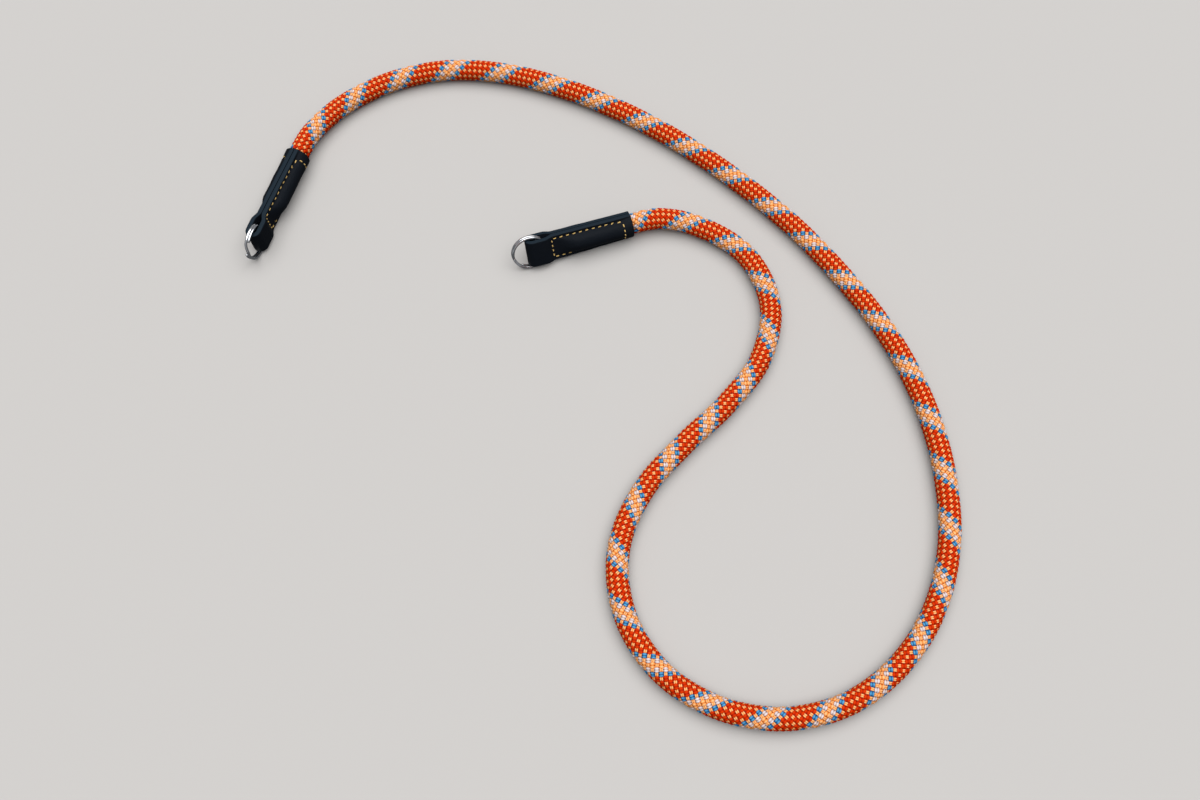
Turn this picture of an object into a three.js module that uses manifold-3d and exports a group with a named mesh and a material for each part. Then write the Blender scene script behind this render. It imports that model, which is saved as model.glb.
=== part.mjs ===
// A rope neck strap laid in one open loop: a braided rope, a folded strip of leather stitched
// round each end of it, and a steel split ring held in the fold of each strip.
// Millimetres, +Z up. The strap lies on the plane z = 0, and its box is centred on the origin.

import * as THREE from 'three';
import { mergeVertices } from 'three/addons/utils/BufferGeometryUtils.js';
import Module from 'manifold-3d';

// Rope
const ROPE_RADIUS = 5.4;
const ROPE_SIDES = 10;
const ROPE_STEPS = 72;
const SQUEEZE_REACH = 5; // length of rope outside a tab over which it is squeezed to the tab's pocket
const TAIL_DEPTH = 35; // how far the squeezed end goes into a tab
const TAIL_SIDE_GAP = 0.6; // the squeezed end stays this clear of the sides of the tab's pocket
const TAIL_SIDES = 16;
const TAIL_STEPS_OUTSIDE = 4;
const TAIL_STEPS_INSIDE = 12;
const JOIN_OVERLAP = 2; // the squeezed end starts this far inside the round rope
const JOIN_SCALE = 0.985; // and is this much slimmer there

// The rope's middle line from one tab's mouth to the other's. rise is the height of the line
// above where it runs when the rope lies on the ground.
const ROUTE = [
  { x: -150.5, y: 114.5, rise: 2.3 },
  { x: -148.4, y: 120.2, rise: 2.1 },
  { x: -145.0, y: 128.0, rise: 1.5 },
  { x: -131.5, y: 144.5, rise: 0.4 },
  { x: -107.0, y: 160.0, rise: 0 },
  { x: -78.0, y: 167.5, rise: 0 },
  { x: -48.0, y: 166.0, rise: 0 },
  { x: -19.0, y: 158.0, rise: 0 },
  { x: 8.5, y: 146.0, rise: 0 },
  { x: 34.5, y: 131.0, rise: 0 },
  { x: 59.0, y: 113.5, rise: 0 },
  { x: 82.0, y: 94.0, rise: 0 },
  { x: 103.0, y: 73.0, rise: 0 },
  { x: 122.0, y: 49.5, rise: 0 },
  { x: 139.0, y: 24.5, rise: 0 },
  { x: 152.5, y: -2.5, rise: 0 },
  { x: 161.5, y: -31.0, rise: 0 },
  { x: 165.5, y: -60.5, rise: 0 },
  { x: 164.0, y: -90.5, rise: 0 },
  { x: 155.0, y: -119.0, rise: 0 },
  { x: 138.0, y: -143.5, rise: 0 },
  { x: 114.0, y: -161.0, rise: 0 },
  { x: 85.0, y: -168.0, rise: 0 },
  { x: 55.5, y: -163.0, rise: 0 },
  { x: 30.5, y: -147.0, rise: 0 },
  { x: 15.0, y: -121.5, rise: 0 },
  { x: 12.5, y: -92.0, rise: 0 },
  { x: 23.5, y: -64.5, rise: 0 },
  { x: 43.0, y: -41.5, rise: 0 },
  { x: 64.5, y: -20.5, rise: 0 },
  { x: 82.0, y: 3.5, rise: 0 },
  { x: 87.5, y: 32.5, rise: 0 },
  { x: 76.0, y: 59.5, rise: 0 },
  { x: 51.5, y: 75.5, rise: 0.4 },
  { x: 35.0, y: 78.5, rise: 1.4 },
  { x: 26.0, y: 77.2, rise: 1.9 },
  { x: 19.3, y: 75.1, rise: 2.2 },
];

// Leather tabs. x runs along a tab from the end of its fold to its mouth, y across its width and
// z out of the face that shows.
const TAB_LENGTH = 54.5;
const TAB_WIDTH = 14.7;
const MOUTH_WIDTH = 13.4;
const LEATHER = 2.2;
const HALF_SLIT = 0.15; // half the gap between the two pressed halves
const FOLD_HALF_GAP = 1.75; // half the width of the tunnel that the ring runs through
const TUNNEL_END = 9.6; // the tunnel keeps its width up to here
const HALVES_MEET = 14.4; // and the halves are pressed together from here on
const POCKET_START = 15; // the squeezed rope starts to part the halves here
const PILLOW = 4.1; // half the thickness of the squeezed rope
const PILLOW_RISE = 11; // length over which it gets there
const NARROW_LENGTH = 40; // length over which the strip narrows to its mouth
const POCKET_HALF_WIDTH = 4.3; // between the rows of stitches
const MOUTH_POCKET_HALF_WIDTH = 5.3; // and at the mouth
const MOUTH_OPENING = 8; // length over which the pocket opens to the mouth
const POCKET_WALL = 0.6; // how much further out the pocket's sides show on the outer face
const POCKET_ROUNDNESS = 0.6; // 0.5 would be an ellipse across the pocket
const ROPE_CLEARANCE = 0.3;
const ACROSS_STEPS = 16;
const FOLD_STEPS = 8;
// Places along a half where its sections stand, from the mouth to the fold
const SECTIONS = [54.5, 52, 49.5, 47, 44, 41, 35, 30, 26, 23.5, 21, 18.5, 16.5, 14.4, 13.2, 12, 10.8, 9.6, 7];

// heading is the direction of a tab from fold to mouth, and lean the tilt of its width from upright.
const TABS = [
  { side: 'left', heading: 71.5, lean: 4, end: 0, ringTurn: 150 },
  { side: 'right', heading: 18, lean: 26, end: ROUTE.length - 1, ringTurn: 210 },
];

// Split rings. Each is two turns of wire, one on the other, with a step from one to the next.
const RING_RADIUS = 8.6;
const WIRE_RADIAL = 1.3;
const WIRE_AXIAL = 1.16;
const WIRE_CHAMFER = 0.3;
const TURN_GAP = 0.14;
const RING_CENTRE = 1.75; // distance of the ring's middle from the end of the fold
const WIRE_START = 24; // degrees
const WIRE_TURN = 672;
const STEP_START = 340;
const STEP_TURN = 40;
const RING_STEPS = 72;

const MERGE_DISTANCE = 1e-4; // points closer than this are one

const wasm = await Module();
wasm.setup();

// Goes smoothly from 0 to 1 as value goes from low to high, flat at both ends.
function ease(value, low, high) {
  return THREE.MathUtils.smoothstep(value, low, high);
}

// A closed mesh of three numbers for each point and three points for each triangle.
function meshGeometry(points, triangles) {
  const geometry = new THREE.BufferGeometry();
  geometry.setAttribute('position', new THREE.Float32BufferAttribute(points, 3));
  geometry.setIndex(triangles);
  geometry.computeVertexNormals();
  return geometry;
}

// The solid body of a closed geometry, with its shared points merged.
function toSolid(geometry) {
  const bare = geometry.clone();
  bare.deleteAttribute('normal');
  bare.deleteAttribute('uv');
  const merged = mergeVertices(bare, MERGE_DISTANCE);
  const vertProperties = new Float32Array(merged.getAttribute('position').array);
  const triVerts = new Uint32Array(merged.getIndex().array);
  return new wasm.Manifold(new wasm.Mesh({ numProp: 3, vertProperties, triVerts }));
}

function fromSolid(solid) {
  const { vertProperties, triVerts } = solid.getMesh();
  return meshGeometry(Array.from(vertProperties), Array.from(triVerts));
}

// Half the width of the tab's pocket at x along the tab: even between the stitches, wider at the mouth.
function pocketHalfWidth(x) {
  const opened = ease(x, TAB_LENGTH - MOUTH_OPENING, TAB_LENGTH);
  return THREE.MathUtils.lerp(POCKET_HALF_WIDTH, MOUTH_POCKET_HALF_WIDTH, opened);
}

// Half the gap that the squeezed rope opens between a tab's halves, at x along the tab and y across
// it: a nearly elliptic dome across the pocket and the wall beside it, which rises smoothly behind the fold.
function pocket(x, y, wall) {
  const across = Math.max(0, 1 - (y / (pocketHalfWidth(x) + wall)) ** 2);
  return PILLOW * ease(x, POCKET_START, POCKET_START + PILLOW_RISE) * across ** POCKET_ROUNDNESS;
}

// Half the gap of the tunnel at the fold, over the slit between the halves.
function tunnel(x) {
  return (FOLD_HALF_GAP - HALF_SLIT) * (1 - ease(x, TUNNEL_END, HALVES_MEET));
}

// The strip's half width at x along the tab.
function halfWidthAt(x) {
  return THREE.MathUtils.lerp(TAB_WIDTH, MOUTH_WIDTH, ease(x, TAB_LENGTH - NARROW_LENGTH, TAB_LENGTH)) / 2;
}

// Inner and outer points of the strip, row by row, from the mouth of the half that shows round the
// fold to the mouth of the other half.
function stripRows() {
  const rows = [];
  const fractions = Array.from({ length: ACROSS_STEPS + 1 }, (_, k) => 2 * k / ACROSS_STEPS - 1);
  const foldMiddle = FOLD_HALF_GAP + LEATHER;
  const addHalf = (places, face) => {
    for (const x of places) {
      rows.push(fractions.map((fraction) => {
        const y = fraction * halfWidthAt(x);
        const inner = HALF_SLIT + tunnel(x) + pocket(x, y, 0);
        const outer = HALF_SLIT + tunnel(x) + pocket(x, y, POCKET_WALL) + LEATHER;
        return { inner: [x, y, face * inner], outer: [x, y, face * outer] };
      }));
    }
  };
  const sections = [...SECTIONS, foldMiddle];
  addHalf(sections, 1);
  for (let k = 1; k < FOLD_STEPS; k += 1) {
    const angle = Math.PI / 2 + Math.PI * k / FOLD_STEPS;
    const onFold = (radius, y) => [foldMiddle + radius * Math.cos(angle), y, radius * Math.sin(angle)];
    rows.push(fractions.map((fraction) => {
      const y = fraction * TAB_WIDTH / 2;
      return { inner: onFold(FOLD_HALF_GAP, y), outer: onFold(foldMiddle, y) };
    }));
  }
  addHalf(sections.toReversed(), -1);
  return rows;
}

// The folded strip as one closed body: an inner and an outer skin, joined along all four edges.
function stripGeometry() {
  const rows = stripRows();
  const columns = ACROSS_STEPS + 1;
  const skin = rows.length * columns;
  const points = [];
  for (const face of ['inner', 'outer']) {
    for (const row of rows) {
      for (const place of row) {
        points.push(...place[face]);
      }
    }
  }
  const inner = (row, column) => row * columns + column;
  const outer = (row, column) => skin + row * columns + column;
  const triangles = [];
  const addQuad = (a, b, c, d) => triangles.push(a, b, c, a, c, d);
  const last = rows.length - 1;
  for (let row = 0; row < last; row += 1) {
    for (let column = 0; column < ACROSS_STEPS; column += 1) {
      addQuad(outer(row, column), outer(row, column + 1), outer(row + 1, column + 1), outer(row + 1, column));
      addQuad(inner(row, column), inner(row + 1, column), inner(row + 1, column + 1), inner(row, column + 1));
    }
    addQuad(inner(row, 0), outer(row, 0), outer(row + 1, 0), inner(row + 1, 0));
    addQuad(
      inner(row, ACROSS_STEPS),
      inner(row + 1, ACROSS_STEPS),
      outer(row + 1, ACROSS_STEPS),
      outer(row, ACROSS_STEPS),
    );
  }
  for (let column = 0; column < ACROSS_STEPS; column += 1) {
    addQuad(inner(0, column), inner(0, column + 1), outer(0, column + 1), outer(0, column));
    addQuad(inner(last, column), outer(last, column), outer(last, column + 1), inner(last, column + 1));
  }
  return meshGeometry(points, triangles);
}

// The middle line of a split ring's wire in the ring's own plane, z = 0 between the two turns.
class RingWire extends THREE.Curve {
  getPoint(t, target = new THREE.Vector3()) {
    const degrees = WIRE_START + WIRE_TURN * t;
    const angle = THREE.MathUtils.degToRad(degrees);
    const layer = 2 * ease(degrees, STEP_START, STEP_START + STEP_TURN) - 1;
    const height = layer * (WIRE_AXIAL + TURN_GAP) / 2;
    return target.set(RING_RADIUS * Math.cos(angle), RING_RADIUS * Math.sin(angle), height);
  }
}

// A flat wire with broken edges, wound into a split ring.
function ringGeometry() {
  const axial = WIRE_AXIAL / 2;
  const radial = WIRE_RADIAL / 2;
  const section = new THREE.Shape([
    new THREE.Vector2(axial, radial - WIRE_CHAMFER),
    new THREE.Vector2(axial - WIRE_CHAMFER, radial),
    new THREE.Vector2(WIRE_CHAMFER - axial, radial),
    new THREE.Vector2(-axial, radial - WIRE_CHAMFER),
    new THREE.Vector2(-axial, WIRE_CHAMFER - radial),
    new THREE.Vector2(WIRE_CHAMFER - axial, -radial),
    new THREE.Vector2(axial - WIRE_CHAMFER, -radial),
    new THREE.Vector2(axial, WIRE_CHAMFER - radial),
  ]);
  const options = { steps: RING_STEPS, extrudePath: new RingWire(), curveSegments: 1 };
  return new THREE.ExtrudeGeometry(section, options);
}

// Where a tab stands: its mouth is at the rope's end, and its ring touches the ground.
function tabPlacement(tab) {
  const lean = THREE.MathUtils.degToRad(tab.lean);
  const heading = THREE.MathUtils.degToRad(tab.heading);
  const mouth = ROUTE[tab.end];
  const mouthHeight = ROPE_RADIUS + mouth.rise;
  const ringHalfThickness = WIRE_AXIAL + TURN_GAP / 2;
  const ringHeight = (RING_RADIUS + WIRE_RADIAL / 2) * Math.cos(lean) + ringHalfThickness * Math.sin(lean);
  const pitch = Math.asin((mouthHeight - ringHeight) / (TAB_LENGTH - RING_CENTRE));
  const along = new THREE.Vector3(
    Math.cos(heading) * Math.cos(pitch),
    Math.sin(heading) * Math.cos(pitch),
    Math.sin(pitch),
  );
  const side = new THREE.Vector3(0, 0, 1).cross(along).normalize();
  const upright = new THREE.Vector3().crossVectors(along, side);
  const across = upright.multiplyScalar(Math.cos(lean)).addScaledVector(side, Math.sin(lean));
  const out = new THREE.Vector3().crossVectors(along, across);
  const foldEnd = new THREE.Vector3(mouth.x, mouth.y, mouthHeight).addScaledVector(along, -TAB_LENGTH);
  return new THREE.Matrix4().makeBasis(along, across, out).setPosition(foldEnd);
}

// The rope's middle line, from mouth to mouth.
const routePoints = ROUTE.map((place) => new THREE.Vector3(place.x, place.y, ROPE_RADIUS + place.rise));
const routeCurve = new THREE.CatmullRomCurve3(routePoints, false, 'centripetal');

// The stretch of the rope's middle line between two distances from its start.
class RouteStretch extends THREE.Curve {
  constructor(start, stop) {
    super();
    this.start = start;
    this.stop = stop;
  }

  getPoint(t, target = new THREE.Vector3()) {
    const distance = THREE.MathUtils.lerp(this.start, this.stop, t);
    return routeCurve.getPointAt(distance / routeCurve.getLength(), target);
  }

  // Frames whose normal points down, so that one flat of the section faces the ground all along.
  computeFrenetFrames(segments) {
    const down = new THREE.Vector3(0, 0, -1);
    const frames = { tangents: [], normals: [], binormals: [] };
    for (let k = 0; k <= segments; k += 1) {
      const tangent = this.getTangentAt(k / segments);
      const binormal = new THREE.Vector3().crossVectors(tangent, down).normalize();
      frames.tangents.push(tangent);
      frames.binormals.push(binormal);
      frames.normals.push(new THREE.Vector3().crossVectors(binormal, tangent));
    }
    return frames;
  }
}

// The round rope between the two places where it starts to be squeezed, lying on one of its flats.
function ropeRunGeometry() {
  const outer = ROPE_RADIUS / Math.cos(Math.PI / ROPE_SIDES);
  const corners = Array.from({ length: ROPE_SIDES }, (_, k) => {
    const angle = 2 * Math.PI * (k + 0.5) / ROPE_SIDES;
    return new THREE.Vector2(outer * Math.cos(angle), outer * Math.sin(angle));
  });
  const extrudePath = new RouteStretch(SQUEEZE_REACH, routeCurve.getLength() - SQUEEZE_REACH);
  return new THREE.ExtrudeGeometry(new THREE.Shape(corners), { steps: ROPE_STEPS, extrudePath });
}

// One ring of points of the squeezed end at x along its tab: what fills the pocket inside the mouth,
// and a blend from there to the round rope outside it.
function tailRing(x) {
  const round = ease(x, TAB_LENGTH, TAB_LENGTH + SQUEEZE_REACH);
  const slim = THREE.MathUtils.lerp(1, JOIN_SCALE, round);
  const flatHalfWidth = pocketHalfWidth(x) - TAIL_SIDE_GAP;
  return Array.from({ length: TAIL_SIDES }, (_, k) => {
    const angle = 2 * Math.PI * k / TAIL_SIDES;
    const flatY = flatHalfWidth * Math.cos(angle);
    const filled = pocket(x, flatY, 0) + HALF_SLIT - ROPE_CLEARANCE;
    const onEdge = k % (TAIL_SIDES / 2) === 0;
    const flatZ = onEdge ? 0 : Math.sign(Math.sin(angle)) * filled;
    const y = THREE.MathUtils.lerp(flatY, ROPE_RADIUS * Math.cos(angle), round) * slim;
    const z = THREE.MathUtils.lerp(flatZ, ROPE_RADIUS * Math.sin(angle), round) * slim;
    return new THREE.Vector3(x, y, z);
  });
}

// The squeezed end of the rope, in its tab's own axes, as rings joined side by side and capped.
function tailGeometry() {
  const outside = Array.from({ length: TAIL_STEPS_OUTSIDE }, (_, k) => {
    return TAB_LENGTH + (SQUEEZE_REACH + JOIN_OVERLAP) * (1 - k / TAIL_STEPS_OUTSIDE);
  });
  const inside = Array.from({ length: TAIL_STEPS_INSIDE + 1 }, (_, k) => {
    return TAB_LENGTH - TAIL_DEPTH * k / TAIL_STEPS_INSIDE;
  });
  const rings = [...outside, ...inside].map(tailRing);
  const points = rings.flat().flatMap((point) => point.toArray());
  const triangles = [];
  for (let ring = 0; ring < rings.length - 1; ring += 1) {
    for (let k = 0; k < TAIL_SIDES; k += 1) {
      const a = ring * TAIL_SIDES + k;
      const b = ring * TAIL_SIDES + (k + 1) % TAIL_SIDES;
      triangles.push(a, a + TAIL_SIDES, b + TAIL_SIDES, a, b + TAIL_SIDES, b);
    }
  }
  const deepest = (rings.length - 1) * TAIL_SIDES;
  for (let k = 1; k < TAIL_SIDES - 1; k += 1) {
    triangles.push(0, k, k + 1);
    triangles.push(deepest, deepest + k + 1, deepest + k);
  }
  return meshGeometry(points, triangles);
}

// The whole rope: its round run joined to a squeezed end in each tab.
function ropeGeometry() {
  let solid = toSolid(ropeRunGeometry());
  for (const tab of TABS) {
    solid = solid.add(toSolid(tailGeometry().applyMatrix4(tabPlacement(tab))));
  }
  return fromSolid(solid);
}

const ropeMaterial = new THREE.MeshStandardMaterial({ color: 0xd8581c, roughness: 0.85, metalness: 0 });
const leatherMaterial = new THREE.MeshStandardMaterial({ color: 0x16181c, roughness: 0.55, metalness: 0 });
const steelMaterial = new THREE.MeshStandardMaterial({ color: 0xc9cbcf, roughness: 0.2, metalness: 1 });

function namedMesh(name, geometry, material) {
  const mesh = new THREE.Mesh(geometry, material);
  mesh.name = name;
  return mesh;
}

const strap = new THREE.Group();
strap.add(namedMesh('rope', ropeGeometry(), ropeMaterial));
for (const tab of TABS) {
  const tabGroup = new THREE.Group();
  tabGroup.applyMatrix4(tabPlacement(tab));
  tabGroup.add(namedMesh(`leather_tab_${tab.side}`, stripGeometry(), leatherMaterial));
  const ring = namedMesh(`split_ring_${tab.side}`, ringGeometry(), steelMaterial);
  ring.position.x = RING_CENTRE;
  ring.rotation.z = THREE.MathUtils.degToRad(tab.ringTurn);
  tabGroup.add(ring);
  strap.add(tabGroup);
}

export default strap;
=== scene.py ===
"""Looks of a braided rope strap: the woven rope, its stitched leather end tabs and the split rings."""

import math
from collections import namedtuple

import bpy
import numpy as np
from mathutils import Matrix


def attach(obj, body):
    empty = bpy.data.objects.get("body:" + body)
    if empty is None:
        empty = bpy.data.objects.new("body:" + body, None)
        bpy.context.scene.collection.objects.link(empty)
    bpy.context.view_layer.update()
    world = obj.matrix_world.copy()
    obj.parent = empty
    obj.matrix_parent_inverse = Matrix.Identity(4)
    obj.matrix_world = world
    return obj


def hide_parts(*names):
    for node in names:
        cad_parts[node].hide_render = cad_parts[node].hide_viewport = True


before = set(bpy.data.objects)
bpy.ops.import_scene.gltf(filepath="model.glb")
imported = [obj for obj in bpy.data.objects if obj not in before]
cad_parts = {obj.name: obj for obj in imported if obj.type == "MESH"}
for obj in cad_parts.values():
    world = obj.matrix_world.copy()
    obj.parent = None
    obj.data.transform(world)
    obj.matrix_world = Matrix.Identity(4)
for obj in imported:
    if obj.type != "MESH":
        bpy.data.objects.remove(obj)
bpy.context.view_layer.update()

# Camera
# The photo looks down on the strap with no roll, through a moderate wide angle lens. The picture's
# middle is a point of the ground inside the rope's loop.
LENS_MM = 40.0
SENSOR_MM = 36.0
ELEVATION = math.radians(69.0)
VIEW_DISTANCE = 0.6426
VIEW_POINT = np.array([0.0040, -0.0165, 0.0])

lens = bpy.data.cameras.new("photo_view")
lens.lens = LENS_MM
lens.sensor_width = SENSOR_MM
lens.clip_start = 0.01
camera = bpy.data.objects.new("photo_view", lens)
camera.location = VIEW_POINT + VIEW_DISTANCE * np.array([0.0, -math.cos(ELEVATION), math.sin(ELEVATION)])
camera.rotation_euler = (math.pi / 2 - ELEVATION, 0.0, 0.0)
bpy.context.scene.collection.objects.link(camera)
bpy.context.scene.camera = camera

# The rope's lie
# One length of rope lies loose on the ground in an S-shaped loop, from the mouth of one tab to the
# mouth of the other. Its ends rise a little to the tabs, which squeeze them flat between two halves.
ROPE_RADIUS = 0.0054
ROUTE = np.array([
    # x, y and the rise of the rope's middle over where it runs on the ground
    (-0.1505, 0.1145, 0.0023),
    (-0.1484, 0.1202, 0.0021),
    (-0.1450, 0.1280, 0.0015),
    (-0.1315, 0.1445, 0.0004),
    (-0.1070, 0.1600, 0.0),
    (-0.0780, 0.1675, 0.0),
    (-0.0480, 0.1660, 0.0),
    (-0.0190, 0.1580, 0.0),
    (0.0085, 0.1460, 0.0),
    (0.0345, 0.1310, 0.0),
    (0.0590, 0.1135, 0.0),
    (0.0820, 0.0940, 0.0),
    (0.1030, 0.0730, 0.0),
    (0.1220, 0.0495, 0.0),
    (0.1390, 0.0245, 0.0),
    (0.1525, -0.0025, 0.0),
    (0.1615, -0.0310, 0.0),
    (0.1655, -0.0605, 0.0),
    (0.1640, -0.0905, 0.0),
    (0.1550, -0.1190, 0.0),
    (0.1380, -0.1435, 0.0),
    (0.1140, -0.1610, 0.0),
    (0.0850, -0.1680, 0.0),
    (0.0555, -0.1630, 0.0),
    (0.0305, -0.1470, 0.0),
    (0.0150, -0.1215, 0.0),
    (0.0125, -0.0920, 0.0),
    (0.0235, -0.0645, 0.0),
    (0.0430, -0.0415, 0.0),
    (0.0645, -0.0205, 0.0),
    (0.0820, 0.0035, 0.0),
    (0.0875, 0.0325, 0.0),
    (0.0760, 0.0595, 0.0),
    (0.0515, 0.0755, 0.0004),
    (0.0350, 0.0785, 0.0014),
    (0.0260, 0.0772, 0.0019),
    (0.0193, 0.0751, 0.0022),
])
LINE_STEPS = 60  # places worked out between two points of the route
TAIL_DEPTH = 0.035  # length of rope inside a tab
SQUEEZE_REACH = 0.0028  # length outside a mouth over which the rope becomes round
TAIL_SIDE_GAP = 0.0006  # between the squeezed rope and the sides of its pocket
ROPE_CLEARANCE = 0.0003
FLAT_STEEPNESS = 4.0  # how fast the squeezed rope gets its full thickness from its sides on

TAB_LENGTH = 0.0545
LEATHER = 0.0022
HALF_SLIT = 0.00015  # half the gap between the two pressed halves
POCKET_START = 0.015  # the squeezed rope starts to part the halves here
PILLOW = 0.0041  # half the thickness of the squeezed rope
PILLOW_RISE = 0.011  # length over which it gets there
POCKET_HALF_WIDTH = 0.0043  # between the rows of stitches
MOUTH_POCKET_HALF_WIDTH = 0.0053  # and at the mouth
MOUTH_OPENING = 0.008  # length over which the pocket opens to the mouth
POCKET_ROUNDNESS = 0.6  # 0.5 would be an ellipse across the pocket
RING_OUTER_RADIUS = 0.00925
RING_HALF_THICKNESS = 0.00123
RING_CENTRE = 0.00175  # distance of a ring's middle from the end of its tab's fold

TabAxes = namedtuple("TabAxes", "side fold_end along across out")


def unit(vectors):
    """Each vector divided by its length."""
    return vectors / np.linalg.norm(vectors, axis=-1, keepdims=True)


def ease(value, low, high):
    """Rises smoothly from 0 at low to 1 at high: three squares less two cubes of the share of the way."""
    share = np.clip((value - low) / (high - low), 0.0, 1.0)
    return share * share * (3.0 - 2.0 * share)


def tab_axes(side, mouth, heading, lean):
    """A tab's own axes: along it from fold to mouth, across its width, and out of the face that shows.
    It heads level but for the slope from its ring, which touches the ground, up or down to its mouth, and
    its width leans from upright."""
    heading, lean = math.radians(heading), math.radians(lean)
    ring_height = RING_OUTER_RADIUS * math.cos(lean) + RING_HALF_THICKNESS * math.sin(lean)
    pitch = math.asin((mouth[2] - ring_height) / (TAB_LENGTH - RING_CENTRE))
    level = np.array([math.cos(heading), math.sin(heading), 0.0])
    along = level * math.cos(pitch) + np.array([0.0, 0.0, math.sin(pitch)])
    flat_side = unit(np.cross([0.0, 0.0, 1.0], along))
    upright = np.cross(along, flat_side)
    across = upright * math.cos(lean) + flat_side * math.sin(lean)
    return TabAxes(side, mouth - TAB_LENGTH * along, along, across, np.cross(along, across))


def centripetal_line(points, steps):
    """A smooth line through the points: on each span a cubic whose slopes at both ends come from the points
    before and after, with each span's weight the square root of its length."""
    padded = np.vstack([2 * points[0] - points[1], points, 2 * points[-1] - points[-2]])
    before, start, stop, after = padded[:-3], padded[1:-2], padded[2:-1], padded[3:]
    span_0, span_1, span_2 = (
        np.sqrt(np.linalg.norm(b - a, axis=1, keepdims=True))
        for a, b in ((before, start), (start, stop), (stop, after))
    )
    slope_0 = (start - before) / span_0 - (stop - before) / (span_0 + span_1) + (stop - start) / span_1
    slope_1 = (stop - start) / span_1 - (after - start) / (span_1 + span_2) + (after - stop) / span_2
    t = np.linspace(0.0, 1.0, steps, endpoint=False)[:, None, None]
    line = (
        (2 * t**3 - 3 * t**2 + 1) * start
        + (t**3 - 2 * t**2 + t) * slope_0 * span_1
        + (3 * t**2 - 2 * t**3) * stop
        + (t**3 - t**2) * slope_1 * span_1
    )
    return np.vstack([line.transpose(1, 0, 2).reshape(-1, 3), points[-1]])


def pocket_half_width(x):
    """Half the width of a tab's pocket at x along the tab: even between the stitches, wider at the mouth."""
    opened = ease(x, TAB_LENGTH - MOUTH_OPENING, TAB_LENGTH)
    return POCKET_HALF_WIDTH + (MOUTH_POCKET_HALF_WIDTH - POCKET_HALF_WIDTH) * opened


def pocket(x, y, wall):
    """Half the gap that the squeezed rope opens between a tab's halves, at x along the tab and y across it: a
    nearly elliptic dome across the pocket and the wall beside it, which rises smoothly behind the fold."""
    across = np.maximum(0.0, 1.0 - (y / (pocket_half_width(x) + wall)) ** 2)
    return PILLOW * ease(x, POCKET_START, POCKET_START + PILLOW_RISE) * across**POCKET_ROUNDNESS


route_points = ROUTE + np.array([0.0, 0.0, ROPE_RADIUS])
tab_left = tab_axes("left", route_points[0], heading=71.5, lean=4.0)
tab_right = tab_axes("right", route_points[-1], heading=18.0, lean=26.0)

rope_line = centripetal_line(route_points, LINE_STEPS)
ROPE_LENGTH = float(np.linalg.norm(np.diff(rope_line, axis=0), axis=1).sum())
inside = np.linspace(TAIL_DEPTH, 0.0, LINE_STEPS, endpoint=False)[:, None]
whole_line = np.vstack([
    rope_line[0] - inside * tab_left.along,
    rope_line,
    rope_line[-1] - inside[::-1] * tab_right.along,
])
line_steps = np.linalg.norm(np.diff(whole_line, axis=0), axis=1)
line_distance = np.concatenate([[0.0], np.cumsum(line_steps)]) - TAIL_DEPTH
line_heading = unit(np.gradient(whole_line, line_distance, axis=0))


def along_line(values, distance):
    """Values given at the places of the rope's line, read off at other distances from the left mouth."""
    return np.stack([np.interp(distance, line_distance, column) for column in values.T], axis=-1)


def on_rope(distance, angle, radius):
    """A point at a distance along the rope, an angle round it from its left side over its top, and a radius:
    the middle line's point plus radius times the turned direction. Near a mouth and inside its tab the round
    section goes over to the flat one that fills the tab's pocket, at the same share of its radius."""
    middle = along_line(whole_line, distance)
    heading = unit(along_line(line_heading, distance))
    left = unit(np.cross([0.0, 0.0, 1.0], heading))
    top = np.cross(heading, left)
    direction = np.cos(angle)[..., None] * left + np.sin(angle)[..., None] * top
    point = middle + radius[..., None] * direction
    for tab, outside in ((tab_left, distance), (tab_right, ROPE_LENGTH - distance)):
        x = TAB_LENGTH + outside
        flat_y = (pocket_half_width(x) - TAIL_SIDE_GAP) * (direction @ tab.across)
        filled = pocket(x, flat_y, 0.0) + HALF_SLIT - ROPE_CLEARANCE
        flat_z = filled * np.clip(FLAT_STEEPNESS * (direction @ tab.out), -1.0, 1.0)
        share = (radius / ROPE_RADIUS)[..., None]
        flat = middle + share * (flat_y[..., None] * tab.across + flat_z[..., None] * tab.out)
        point = flat + (point - flat) * ease(outside, 0.0, SQUEEZE_REACH)[:, None]
    return point


# Sheath strands
# The rope's sheath is a round braid: ten strands wind one way and ten the other, over one and under one.
# Each is a flat pair of smooth polyester yarns. Five red-orange strands side by side make the broad spiral,
# and a cream strand between white and blue ones makes the narrow one. All strands of the other way are cream.
STRANDS_EACH_WAY = 10
LEAD = 0.027  # length of rope in which a strand goes once round
SPIRAL_START = 0.0064  # where the middle of the red-orange spiral first comes to the rope's top
STRAND_STEP = 0.0004
STRAND_TUCK = 0.009  # length of strand inside a tab
TOP = math.pi / 2
CRIMP = 0.00050  # how far a strand goes out over one and in under the next
SHADE_TOP = 0.95  # height below which painted shade deepens a strand's colour, 1 on top of a crossing
SHADE_GAIN = 1.8  # and how fast the painted shade deepens
YARN_SHIFT = 50.0  # moves the filaments' pattern on from strand to strand, so that no two are alike
MM = 1000.0  # millimetres in a metre
# Across a strand and up from its middle, in half widths and half thicknesses: two yarns and the groove
# between them on the outside, one point on the side that the core hides
STRAND_PROFILE = np.array([
    (-1.00, 0.00),
    (-0.86, 0.74),
    (-0.48, 1.00),
    (0.00, 0.36),
    (0.48, 1.00),
    (0.86, 0.74),
    (1.00, 0.00),
    (0.00, -0.90),
])

Strand = namedtuple("Strand", "turn middle half_width swell half_thickness")
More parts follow.
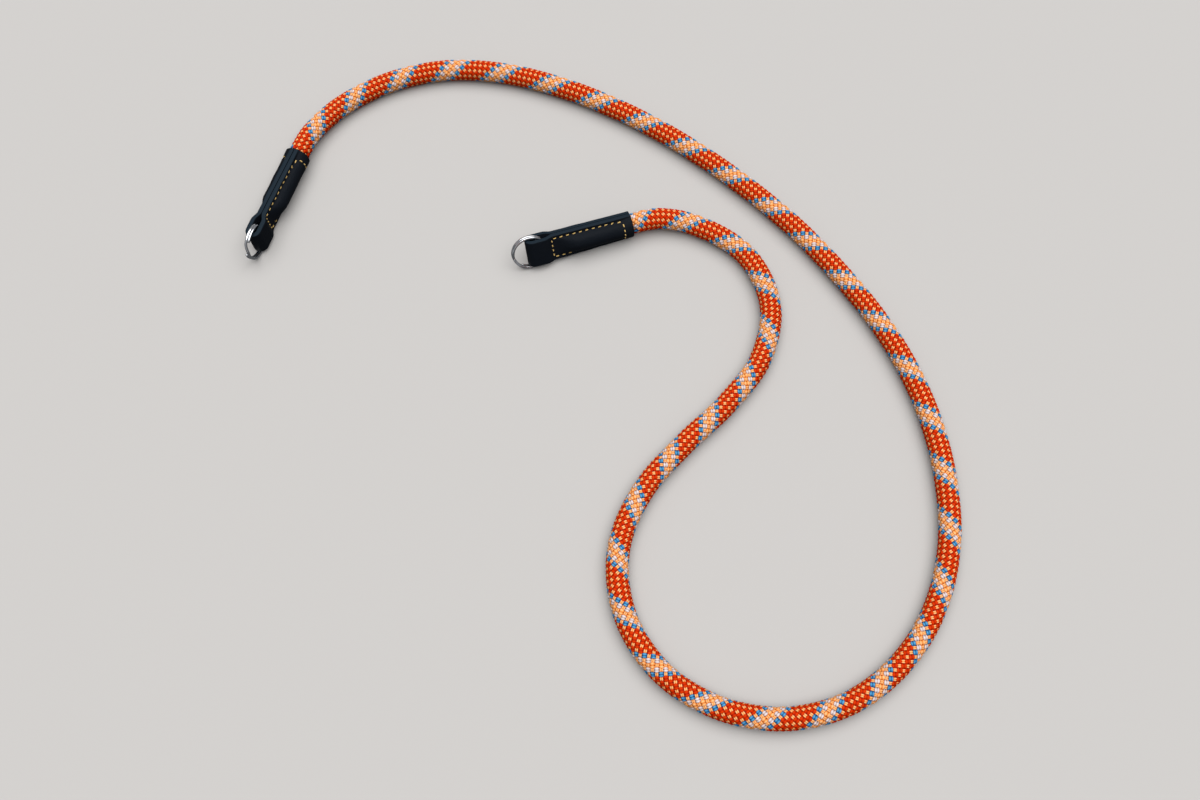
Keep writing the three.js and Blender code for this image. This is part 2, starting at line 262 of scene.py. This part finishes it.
# turn is the way round, middle the radius of a strand's middle between two crossings, and swell how much
# wider it lies over a crossing than there
MAIN_STRAND = Strand(turn=-1, middle=0.00440, half_width=0.00116, swell=0.00040, half_thickness=0.00058)
SLIM_STRAND = MAIN_STRAND._replace(half_width=0.00096, swell=0.00028)  # the white and blue ones
CREAM_STRAND = Strand(turn=1, middle=0.00420, half_width=0.00074, swell=0.00008, half_thickness=0.00056)

COLOURS = {
    # colour on top, painted shade at the sides, deeper painted shade where a yarn dips under, 0 to 255
    "red_orange": ((224, 60, 0), (190, 36, 0), (100, 12, 0)),
    "cream": ((255, 202, 142), (242, 142, 64), (140, 60, 10)),
    "white": ((234, 226, 230), (204, 180, 176), (100, 74, 66)),
    "blue": ((96, 172, 216), (42, 106, 162), (6, 28, 64)),
}
# The main strands in their order round the rope, from the middle of the red-orange spiral
MAIN_ORDER = [
    "red_orange",
    "red_orange",
    "red_orange",
    "blue",
    "white",
    "cream",
    "white",
    "blue",
    "red_orange",
    "red_orange",
]


def linear(colour):
    """A colour given as it looks, 0 to 255, in the linear light that shaders use, with alpha."""
    share = np.array(colour) / 255.0
    light = np.where(share <= 0.04045, share / 12.92, ((share + 0.055) / 1.055) ** 2.4)
    return (*light.tolist(), 1.0)


def put_in(material, value, socket):
    """Links a node's output to a socket, or sets the socket to any other value."""
    if isinstance(value, bpy.types.NodeSocket):
        material.node_tree.links.new(value, socket)
    else:
        socket.default_value = value


def add_node(material, kind, **inputs):
    """A node of a material or world with its inputs set: a node's output is linked, another value put in."""
    node = material.node_tree.nodes.new(kind)
    for name, value in inputs.items():
        put_in(material, value, node.inputs[name.replace("_", " ")])
    return node


def new_material(name, **inputs):
    """A material with one Principled shader, and that shader."""
    material = bpy.data.materials.new(name)
    material.use_nodes = True
    shader = material.node_tree.nodes["Principled BSDF"]
    for key, value in inputs.items():
        shader.inputs[key.replace("_", " ")].default_value = value
    return material, shader


def mix_colours(material, share, first, second):
    """A blend of two colours by a node's output, as an output."""
    mix = material.node_tree.nodes.new("ShaderNodeMix")
    mix.data_type = "RGBA"
    for value, socket in ((share, 0), (first, 6), (second, 7)):
        put_in(material, value, mix.inputs[socket])
    return mix.outputs[2]


def point_value(material, key):
    """The output of a node that reads one of a mesh's own values."""
    node = material.node_tree.nodes.new("ShaderNodeAttribute")
    node.attribute_name = key
    return node.outputs["Fac"]


def yarn_material(name, shades):
    """Smooth polyester yarn: fine twisted filaments as a slanted wave in the strand's own UV, painted shade
    where the strand dips under, and a little change of tone from place to place along it."""
    material, shader = new_material(name, Roughness=0.55, Specular_IOR_Level=0.04)
    links = material.node_tree.links
    yarn_uv = material.node_tree.nodes.new("ShaderNodeUVMap")
    yarn_uv.uv_map = "yarn"
    slant = add_node(material, "ShaderNodeMapping", Vector=yarn_uv.outputs["UV"], Rotation=(0, 0, 0.45))
    filaments = add_node(
        material, "ShaderNodeTexWave", Vector=slant.outputs["Vector"], Scale=1.5, Distortion=1.2, Detail=2.0
    )
    bump = add_node(
        material, "ShaderNodeBump", Height=filaments.outputs["Fac"], Strength=0.35, Distance=0.00006
    )
    links.new(bump.outputs["Normal"], shader.inputs["Normal"])
    patches = add_node(material, "ShaderNodeTexNoise", Vector=yarn_uv.outputs["UV"], Scale=0.35, Detail=3.0)
    brightness = add_node(
        material, "ShaderNodeMapRange", Value=patches.outputs["Fac"], To_Min=0.86, To_Max=1.12
    )
    # painted shade: three stops, the colour on top, at the sides and deepest under a crossing
    ramp = add_node(material, "ShaderNodeValToRGB", Fac=point_value(material, "dip"))
    ramp.color_ramp.elements.new(0.5)
    for stop, shade in zip(ramp.color_ramp.elements, shades):
        stop.color = linear(shade)
    colour = add_node(
        material,
        "ShaderNodeHueSaturation",
        Color=ramp.outputs["Color"],
        Value=brightness.outputs["Result"],
    )
    links.new(colour.outputs["Color"], shader.inputs["Base Color"])
    return material


def tube_faces(tubes, rings, sides):
    """Corners of the faces of tubes that are alike, each a grid of rings by sides: four corners between two
    rings, then one face over each end."""
    first = np.arange(tubes)[:, None, None] * rings * sides
    ring = np.arange(rings - 1)[None, :, None] * sides
    side = np.arange(sides)[None, None, :]
    after = (side + 1) % sides
    a, b = first + ring + side, first + ring + after
    quads = np.stack([a, b, b + sides, a + sides], axis=-1).reshape(-1, 4)
    start = (first + side[:, :, ::-1]).reshape(-1, sides)
    stop = (first + (rings - 1) * sides + side).reshape(-1, sides)
    return quads, np.vstack([start, stop])


def add_piece(name, points, faces, material, slot, uv=None, **values):
    """A smooth mesh piece that rides on the strap's one body. faces is a list of arrays of corners, one row
    a face, uv has one pair for each point, and values are further attributes with one number for each."""
    mesh = bpy.data.meshes.new(name)
    corners = np.concatenate([rows.ravel() for rows in faces])
    sizes = np.concatenate([np.full(len(rows), rows.shape[1]) for rows in faces])
    mesh.vertices.add(len(points))
    mesh.vertices.foreach_set("co", points.astype(np.float32).ravel())
    mesh.loops.add(len(corners))
    mesh.loops.foreach_set("vertex_index", corners.astype(np.int32))
    mesh.polygons.add(len(sizes))
    mesh.polygons.foreach_set("loop_start", (np.cumsum(sizes) - sizes).astype(np.int32))
    mesh.update(calc_edges=True)
    mesh.polygons.foreach_set("use_smooth", np.ones(len(sizes), bool))
    if uv is not None:
        layer = mesh.uv_layers.new(name="yarn")
        layer.uv.foreach_set("vector", uv[corners].astype(np.float32).ravel())
    for key, numbers in values.items():
        attribute = mesh.attributes.new(key, "FLOAT", "POINT")
        attribute.data.foreach_set("value", numbers.astype(np.float32).ravel())
    mesh.materials.append(material)
    piece = bpy.data.objects.new(name, mesh)
    bpy.context.scene.collection.objects.link(piece)
    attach(piece, "root")
    return piece


def strand_points(strand, starts):
    """Strands as a profile carried along a wavy helix: the angle grows evenly with the distance along the
    rope, and the radius and the width follow one cosine, at its top where the strand lies over. Returns the
    points, their places across and along the strand in millimetres, how much painted shade each gets where
    it dips under, and the grid's shape."""
    count = int(round((ROPE_LENGTH + 2 * STRAND_TUCK) / STRAND_STEP))
    distance = np.linspace(-STRAND_TUCK, ROPE_LENGTH + STRAND_TUCK, count)
    turned = 2 * math.pi * (distance - SPIRAL_START) / LEAD
    angle = TOP + np.asarray(starts)[:, None] + strand.turn * turned
    over = strand.turn * np.cos(turned * STRANDS_EACH_WAY)
    radius = np.broadcast_to(strand.middle + CRIMP * over, angle.shape)
    middle = on_rope(distance, angle, radius)
    outward = on_rope(distance, angle, radius + strand.half_thickness) - middle
    heading = unit(np.gradient(middle, axis=1))
    aside = unit(np.cross(heading, outward))
    outward = np.cross(aside, heading)
    across = STRAND_PROFILE[:, 0] * (strand.half_width + strand.swell * over)[:, None]
    up = STRAND_PROFILE[:, 1] * strand.half_thickness - across**2 / (2 * ROPE_RADIUS)
    points = (
        middle[:, :, None, :]
        + across[None, :, :, None] * aside[:, :, None, :]
        + up[None, :, :, None] * outward[:, :, None, :]
    )
    strand_length = distance * math.hypot(1.0, 2 * math.pi * ROPE_RADIUS / LEAD)
    along = strand_length[None, :, None] * MM + YARN_SHIFT * angle[:, :1, None]
    uv = np.stack(np.broadcast_arrays(across[None] * MM, along), axis=-1)
    # painted shade: the lower a point lies, under a crossing or at a strand's sides, the deeper its colour
    height = (over[:, None] + STRAND_PROFILE[:, 1]) / 2
    dip = np.broadcast_to(np.clip(SHADE_GAIN * (SHADE_TOP - height), 0.0, 1.0), points.shape[:3])
    return points.reshape(-1, 3), uv.reshape(-1, 2), dip, (len(angle), count, len(STRAND_PROFILE))


def strand_piece(name, strand, places, material):
    """The strands that start at these places round the rope, counted in strands from the top."""
    starts = 2 * math.pi * np.array(places) / STRANDS_EACH_WAY
    points, uv, dip, shape = strand_points(strand, starts)
    return add_piece(name, points, tube_faces(*shape), material, "rope", uv, dip=dip)


yarns = {name: yarn_material(f"yarn_{name}", shades) for name, shades in COLOURS.items()}
for colour in COLOURS:
    places = [k for k, name in enumerate(MAIN_ORDER) if name == colour]
    strand = SLIM_STRAND if colour in ("white", "blue") else MAIN_STRAND
    strand_piece(f"rope_{colour}_strands", strand, places, yarns[colour])
half = STRANDS_EACH_WAY // 2
for part in range(2):
    places = range(part * half, (part + 1) * half)
    strand_piece(f"rope_cross_strands_{part + 1}", CREAM_STRAND, places, yarns["cream"])

# Core
# Straight bundles of white yarn fill the sheath, so that the rope stays round where it bends. The strands
# lie close round them and hold them.
CORE_RADIUS = 0.0037
CORE_SIDES = 16
CORE_STEP = 0.003
core_distance = np.linspace(
    -STRAND_TUCK, ROPE_LENGTH + STRAND_TUCK, int(round((ROPE_LENGTH + 2 * STRAND_TUCK) / CORE_STEP))
)
core_angle = np.broadcast_to(
    np.arange(CORE_SIDES)[:, None] * 2 * math.pi / CORE_SIDES, (CORE_SIDES, len(core_distance))
)
core_points = on_rope(core_distance, core_angle, np.full(core_angle.shape, CORE_RADIUS))
core_uv = np.stack(
    np.broadcast_arrays(core_angle * CORE_RADIUS * MM, core_distance[None] * MM), axis=-1
)
# painted shade: the core gets the white yarn's deepest painted shade all over
core = add_piece(
    "rope_core",
    core_points.transpose(1, 0, 2).reshape(-1, 3),
    tube_faces(1, len(core_distance), CORE_SIDES),
    yarns["white"],
    "rope",
    core_uv.transpose(1, 0, 2).reshape(-1, 2),
    dip=np.ones(core_angle.size),
)
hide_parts("rope")

# Leather tabs
# Each end of the rope is held by one strip of black leather, folded round a split ring, with its two halves
# pressed and sewn together over the squeezed rope. The cut edges are left square and show the slit between
# the halves.
TAB_WIDTH = 0.0147
MOUTH_WIDTH = 0.0134
NARROW_LENGTH = 0.040  # the strip narrows to its mouth over this length
FOLD_HALF_GAP = 0.00175  # inner radius of the fold
FOLD_MIDDLE = LEATHER + FOLD_HALF_GAP
TUNNEL_END = 0.0096  # behind the ring the halves draw together from here
HALVES_MEET = 0.0144
POCKET_WALL = 0.0006  # how much further out the pocket's sides show on the outer face
STITCH_INSET = 0.0019  # from the cut edge to a row of stitches
STITCH_BOX = (0.0132, 0.0498)  # ends of the stitched box along the tab
STITCH_GROOVE = 0.00032
GROOVE_HALF_WIDTH = 0.0006
LEATHER_WAVES = [
    # height, turns along and across in radians for each metre, and start
    (0.00005, 610.0, 190.0, 0.0),
    (0.00004, -420.0, 330.0, 1.0),
]
LEATHER_FACE = (20, 24, 30)
LEATHER_EDGE = (30, 41, 50)
OUTER_ROUNDING = 0.00050
INNER_ROUNDING = 0.00018
STRIP_STEPS = 116
FOLD_STEPS = 20
OUTER_POINTS = 36
INNER_POINTS = 14


def half_width(x):
    """Half the strip's width at x along the tab: even at first, then narrowing smoothly to the mouth."""
    narrowing = ease(x, TAB_LENGTH - NARROW_LENGTH, TAB_LENGTH)
    return (TAB_WIDTH + (MOUTH_WIDTH - TAB_WIDTH) * narrowing) / 2


def stitch_distance(x, y):
    """Distance of a place on the strip's face from the nearest line of the stitched box."""
    past_end = np.abs(x - sum(STITCH_BOX) / 2) - (STITCH_BOX[1] - STITCH_BOX[0]) / 2
    past_row = np.abs(y) - (half_width(x) - STITCH_INSET)
    outside = np.hypot(np.maximum(past_end, 0.0), np.maximum(past_row, 0.0))
    return np.abs(outside + np.minimum(np.maximum(past_end, past_row), 0.0))


def strip_height(x, y, depth):
    """Distance from the tab's middle plane of the place at a depth into one half of the strip, counted from
    its inner side: half the slit, the tunnel behind the ring, the pocket of the rope, and the depth itself.
    The outside has a groove along the stitches and goes in and out a little in two slow waves."""
    tunnel = (FOLD_HALF_GAP - HALF_SLIT) * (1.0 - ease(x, TUNNEL_END, HALVES_MEET))
    share = depth / LEATHER
    dome = pocket(x, y, POCKET_WALL * share)
    groove = STITCH_GROOVE * np.exp(-((stitch_distance(x, y) / GROOVE_HALF_WIDTH) ** 2))
    waves = sum(h * np.sin(kx * x + ky * y + start) for h, kx, ky, start in LEATHER_WAVES)
    return HALF_SLIT + tunnel + dome + depth - share * (groove + waves)


def strip_profile():
    """The strip's section as a rectangle with rounded corners. For each point: its share of the half width,
    its depth without the rounding, the way the rounding pushes it, and the rounding's radius."""
    arc = np.linspace(0.0, math.pi / 2, 5)
    outer, inner = LEATHER - OUTER_ROUNDING, INNER_ROUNDING
    rows = [
        # share of half width, depth, push across, push in depth, radius
        [(share, outer, 0.0, 1.0, OUTER_ROUNDING) for share in np.linspace(-1, 1, OUTER_POINTS)[1:-1]],
        [(1.0, outer, math.sin(a), math.cos(a), OUTER_ROUNDING) for a in arc],
        [(1.0, LEATHER / 2, 1.0, 0.0, OUTER_ROUNDING)],
        [(1.0, inner, math.cos(a), -math.sin(a), INNER_ROUNDING) for a in arc],
        [(share, inner, 0.0, -1.0, INNER_ROUNDING) for share in np.linspace(1, -1, INNER_POINTS)[1:-1]],
        [(-1.0, inner, -math.sin(a), -math.cos(a), INNER_ROUNDING) for a in arc],
        [(-1.0, LEATHER / 2, -1.0, 0.0, OUTER_ROUNDING)],
        [(-1.0, outer, -math.cos(a), math.sin(a), OUTER_ROUNDING) for a in arc],
    ]
    return np.array([point for row in rows for point in row]).T


def tab_points():
    """The whole strip in its tab's axes: the rounded section carried from the mouth along the front half,
    round the fold and back along the other half. The last steps at each mouth take the rounding off the
    section. Returns the points, and for each how far it is on a cut edge."""
    share, depth, push_y, push_depth, rounding = strip_profile()
    lip = np.linspace(math.pi / 2, 0.0, 4, endpoint=False)
    run = np.linspace(TAB_LENGTH - OUTER_ROUNDING, FOLD_MIDDLE, STRIP_STEPS)
    half_x = np.concatenate([TAB_LENGTH - OUTER_ROUNDING * (1.0 - np.sin(lip)), run])
    left = np.concatenate([np.cos(lip), np.ones(STRIP_STEPS)])[:, None]
    x = np.broadcast_to(half_x[:, None], (len(half_x), len(share)))
    y = share * (half_width(x) - rounding) + left * push_y * rounding
    height = strip_height(x, y, depth + left * push_depth * rounding)
    front = np.stack([x, y, height], axis=-1)
    back = (front * [1.0, 1.0, -1.0])[::-1]
    turn = np.linspace(math.pi / 2, 3 * math.pi / 2, FOLD_STEPS)[1:-1, None]
    reach = FOLD_HALF_GAP + depth + push_depth * rounding
    fold_y = np.broadcast_to(y[-1], (len(turn), len(share)))
    fold = np.stack([FOLD_MIDDLE + np.cos(turn) * reach, fold_y, np.sin(turn) * reach], axis=-1)
    points = np.concatenate([front, fold, back])
    return points, np.broadcast_to(np.abs(push_y), points.shape[:2])


def placed(tab, points):
    """Points given in a tab's axes, put where that tab lies."""
    return tab.fold_end + points @ np.stack([tab.along, tab.across, tab.out])


leather, leather_shader = new_material("black_leather", Roughness=0.5, Specular_IOR_Level=0.05)
leather_place = leather.node_tree.nodes.new("ShaderNodeTexCoord").outputs["Object"]
leather_edge = point_value(leather, "cut_edge")
leather_colour = mix_colours(leather, leather_edge, linear(LEATHER_FACE), linear(LEATHER_EDGE))
leather_links = leather.node_tree.links
leather_links.new(leather_colour, leather_shader.inputs["Base Color"])
pores = add_node(leather, "ShaderNodeTexVoronoi", Vector=leather_place, Scale=1300.0)
wrinkles = add_node(leather, "ShaderNodeTexNoise", Vector=leather_place, Scale=420.0, Detail=4.0)
pore_bump = add_node(
    leather, "ShaderNodeBump", Height=pores.outputs["Distance"], Strength=0.6, Distance=0.00015
)
grain_bump = add_node(
    leather,
    "ShaderNodeBump",
    Height=wrinkles.outputs["Fac"],
    Normal=pore_bump.outputs["Normal"],
    Strength=0.5,
    Distance=0.0004,
)
leather_links.new(grain_bump.outputs["Normal"], leather_shader.inputs["Normal"])
for tab in (tab_left, tab_right):
    strip, cut_edge = tab_points()
    rings, sides = strip.shape[:2]
    tab_piece = add_piece(
        f"leather_{tab.side}",
        placed(tab, strip.reshape(-1, 3)),
        tube_faces(1, rings, sides),
        leather,
        "leather",
        cut_edge=cut_edge,
    )
    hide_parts(f"leather_tab_{tab.side}")

# Stitches
# A row of waxed tan thread goes round the tab in a box and holds its halves together. Each stitch lies in the
# groove on both faces and dives into the leather at its ends.
LONG_ROW_STITCHES = 11
END_ROW_STITCHES = 4
STITCH_SHARE = 0.46  # of the way from one stitch to the next
STITCH_SLANT = math.radians(7.0)
THREAD_RADIUS = 0.00028
THREAD_FLATNESS = 0.82
STITCH_RINGS = 15
STITCH_SIDES = 8
STITCH_TOP = 0.00014  # height of a stitch's middle over the groove
STITCH_DIVE = 0.00075
PLY_DEPTH = 0.10  # how far the two plies stand out, as a share of the thread's radius
PLY_TWIST = 1.6 * math.pi  # angle that they turn through from a stitch's middle to its end
SLOPE_STEP = 0.0002  # between the places that give the slope of the leather under a stitch
THREAD_COLOUR = (226, 188, 110)


def stitch_places():
    """Middle, way and half length of each stitch on one face, in the strip's own x and y."""
    low, high = STITCH_BOX
    x = low + (np.arange(LONG_ROW_STITCHES) + 0.5) * (high - low) / LONG_ROW_STITCHES
    row = half_width(x) - STITCH_INSET
    long_half = STITCH_SHARE * (high - low) / LONG_ROW_STITCHES / 2
    places, ways, halves = [], [], []
    for side in (1.0, -1.0):
        places.append(np.stack([x, side * row], axis=-1))
        ways.append(np.full(LONG_ROW_STITCHES, side * STITCH_SLANT))
        halves.append(np.full(LONG_ROW_STITCHES, long_half))
    for end in STITCH_BOX:
        reach = half_width(end) - STITCH_INSET
        y = reach * (2 * (np.arange(END_ROW_STITCHES) + 0.5) / END_ROW_STITCHES - 1.0)
        places.append(np.stack([np.full(END_ROW_STITCHES, end), y], axis=-1))
        ways.append(np.full(END_ROW_STITCHES, math.pi / 2 + STITCH_SLANT))
        halves.append(np.full(END_ROW_STITCHES, STITCH_SHARE * reach / END_ROW_STITCHES))
    return np.concatenate(places), np.concatenate(ways), np.concatenate(halves)


def stitch_points(face):
    """Stitches on one face in the tab's axes: a two-ply section carried along an arch, whose height over the
    leather is the top less the dive times the sixth power of the share of the way to an end."""
    places, ways, halves = stitch_places()
    way = np.stack([np.cos(ways), np.sin(ways)], axis=-1)
    t = np.linspace(-1.0, 1.0, STITCH_RINGS)
    flat = places[:, None] + t[None, :, None] * (halves[:, None] * way)[:, None]

    def surface(shift_x=0.0, shift_y=0.0):
        x, y = flat[..., 0] + shift_x, flat[..., 1] + shift_y
        return np.stack([x, y, face * strip_height(x, y, LEATHER)], axis=-1)

    slope_x = surface(SLOPE_STEP) - surface(-SLOPE_STEP)
    slope_y = surface(0.0, SLOPE_STEP) - surface(0.0, -SLOPE_STEP)
    normal = face * unit(np.cross(slope_x, slope_y))
    middle = surface() + (STITCH_TOP - STITCH_DIVE * t**6)[None, :, None] * normal
    heading = unit(np.gradient(middle, axis=1))
    aside = unit(np.cross(normal, heading))
    upward = np.cross(heading, aside)
    angle = np.arange(STITCH_SIDES) * 2 * math.pi / STITCH_SIDES
    plies = 1.0 + PLY_DEPTH * np.cos(2.0 * (angle[None, :] - PLY_TWIST * t[:, None]))
    wide = (THREAD_RADIUS * plies * np.cos(angle))[None, :, :, None]
    high = (THREAD_RADIUS * THREAD_FLATNESS * plies * np.sin(angle))[None, :, :, None]
    return middle[:, :, None] + wide * aside[:, :, None] + high * upward[:, :, None]


thread, thread_shader = new_material("tan_thread", Roughness=0.6, Sheen_Weight=0.2)
thread_place = thread.node_tree.nodes.new("ShaderNodeTexCoord").outputs["Object"]
thread_noise = add_node(thread, "ShaderNodeTexNoise", Vector=thread_place, Scale=600.0, Detail=2.0)
thread_brightness = add_node(
    thread, "ShaderNodeMapRange", Value=thread_noise.outputs["Fac"], To_Min=0.8, To_Max=1.15
)
thread_shade = add_node(
    thread,
    "ShaderNodeHueSaturation",
    Color=linear(THREAD_COLOUR),
    Value=thread_brightness.outputs["Result"],
)
thread.node_tree.links.new(thread_shade.outputs["Color"], thread_shader.inputs["Base Color"])
for tab in (tab_left, tab_right):
    stitches = np.concatenate([stitch_points(1.0), stitch_points(-1.0)])
    add_piece(
        f"stitches_{tab.side}",
        placed(tab, stitches.reshape(-1, 3)),
        tube_faces(*stitches.shape[:3]),
        thread,
        "thread",
    )

# Split rings
# Each tab holds a ring of flat steel wire wound nearly twice round, so that the two turns lie on each other
# and spread apart only where the wire steps from one to the other. The wire's edges are rounded and polished.
RING_RADIUS = 0.0086
WIRE_RADIAL = 0.0013
WIRE_AXIAL = 0.00116
TURN_GAP = 0.00014
WIRE_START = 24.0  # degrees, as are the other angles of the wire
WIRE_TURN = 672.0
STEP_FROM, STEP_TO = 340.0, 380.0
RING_TURNS = {"left": 150.0, "right": 210.0}  # how each ring is turned in its fold
WIRE_SQUARENESS = 3.6  # 2 would be an ellipse
RING_STEPS = 260
RING_SIDES = 20
END_ROUNDING = 3.0  # degrees over which the wire's ends round off
END_SIZE = 0.7  # what is left there of the wire's section
STEEL_COLOUR = (238, 239, 242)


def ring_points(turned):
    """The wire in its tab's axes: a section between ellipse and rectangle carried round a circle, which rises
    smoothly from the lower turn to the upper one between the two step angles."""
    degrees = np.linspace(WIRE_START, WIRE_START + WIRE_TURN, RING_STEPS)
    end = np.minimum(degrees - WIRE_START, WIRE_START + WIRE_TURN - degrees)
    size = END_SIZE + (1.0 - END_SIZE) * np.sqrt(1.0 - (1.0 - np.clip(end / END_ROUNDING, 0.0, 1.0)) ** 2)
    layer = 2.0 * ease(degrees, STEP_FROM, STEP_TO) - 1.0
    round_angle = np.arange(RING_SIDES) * 2 * math.pi / RING_SIDES
    c, s = np.cos(round_angle), np.sin(round_angle)
    power = 2.0 / WIRE_SQUARENESS
    radial = np.sign(c) * np.abs(c) ** power * WIRE_RADIAL / 2
    axial = np.sign(s) * np.abs(s) ** power * WIRE_AXIAL / 2
    radius = RING_RADIUS + size[:, None] * radial
    turn = np.radians(degrees + turned)[:, None]
    height = layer[:, None] * (WIRE_AXIAL + TURN_GAP) / 2 - size[:, None] * axial
    return np.stack([RING_CENTRE + radius * np.cos(turn), radius * np.sin(turn), height], axis=-1)


steel, steel_shader = new_material("polished_steel", Metallic=1.0, Base_Color=linear(STEEL_COLOUR))
steel_place = steel.node_tree.nodes.new("ShaderNodeTexCoord").outputs["Object"]
steel_noise = add_node(steel, "ShaderNodeTexNoise", Vector=steel_place, Scale=500.0, Detail=3.0)
steel_rough = add_node(
    steel, "ShaderNodeMapRange", Value=steel_noise.outputs["Fac"], To_Min=0.06, To_Max=0.14
)
steel.node_tree.links.new(steel_rough.outputs["Result"], steel_shader.inputs["Roughness"])
for tab in (tab_left, tab_right):
    wire = ring_points(RING_TURNS[tab.side])
    ring_piece = add_piece(
        f"ring_{tab.side}",
        placed(tab, wire.reshape(-1, 3)),
        tube_faces(1, RING_STEPS, RING_SIDES),
        steel,
        "steel",
    )
    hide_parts(f"split_ring_{tab.side}")

# Ground
# A plain pale sheet under the strap, large enough to fill every view. It throws no light up at the strap and
# doesn't show in its rings, because the ground in the photo is dark.
GROUND_HALF = 30.0
GROUND_COLOUR = (190, 187, 184)
ground_corners = [(x * GROUND_HALF, y * GROUND_HALF, 0.0) for x, y in ((-1, -1), (1, -1), (1, 1), (-1, 1))]
ground_mesh = bpy.data.meshes.new("ground")
ground_mesh.from_pydata(ground_corners, [], [(0, 1, 2, 3)])
ground_material, _ = new_material("ground", Base_Color=linear(GROUND_COLOUR), Roughness=0.9)
ground_mesh.materials.append(ground_material)
ground = bpy.data.objects.new("ground", ground_mesh)
bpy.context.scene.collection.objects.link(ground)
ground.visible_diffuse = False
ground.visible_glossy = False

# Light
# One broad soft light stands overhead, as the soft shadow on all sides of the rope shows. The room is dim at
# the sides and lighter above, with a narrow pale band along the horizon, where the ground ends.
LIGHT_FROM = (0.25, 0.30, 3.25)
LIGHT_SPREAD = math.radians(75.0)
LIGHT_STRENGTH = 3.00
ROOM_GLOW = [
    # height as the sine of the angle over the horizon, and brightness
    (-0.04, 0.10),
    (-0.03, 0.64),
    (0.15, 0.14),
    (1.0, 0.45),
]
ROOM_TINT = np.array([0.95, 0.97, 1.0])
lamp = bpy.data.lights.new("overhead", "SUN")
lamp.angle = LIGHT_SPREAD
lamp.energy = LIGHT_STRENGTH
holder = bpy.data.objects.new("overhead", lamp)
holder.location = LIGHT_FROM
holder.rotation_euler = (-holder.location).to_track_quat("-Z", "Y").to_euler()
bpy.context.scene.collection.objects.link(holder)
world = bpy.data.worlds.new("soft_room")
world.use_nodes = True
way = world.node_tree.nodes.new("ShaderNodeTexCoord").outputs["Generated"]
way_up = add_node(world, "ShaderNodeSeparateXYZ", Vector=way).outputs["Z"]
ramp_place = add_node(world, "ShaderNodeMapRange", Value=way_up, From_Min=-1.0, From_Max=1.0)
glow = add_node(world, "ShaderNodeValToRGB", Fac=ramp_place.outputs["Result"])
stops = glow.color_ramp.elements
for height, _ in ROOM_GLOW[1:-1]:
    stops.new((height + 1.0) / 2.0)
for stop, (height, brightness) in zip(stops, ROOM_GLOW):
    stop.position = (height + 1.0) / 2.0
    stop.color = (*(brightness * ROOM_TINT), 1.0)
world.node_tree.links.new(glow.outputs["Color"], world.node_tree.nodes["Background"].inputs["Color"])
bpy.context.scene.world = world
bpy.context.scene.view_settings.view_transform = "Standard"
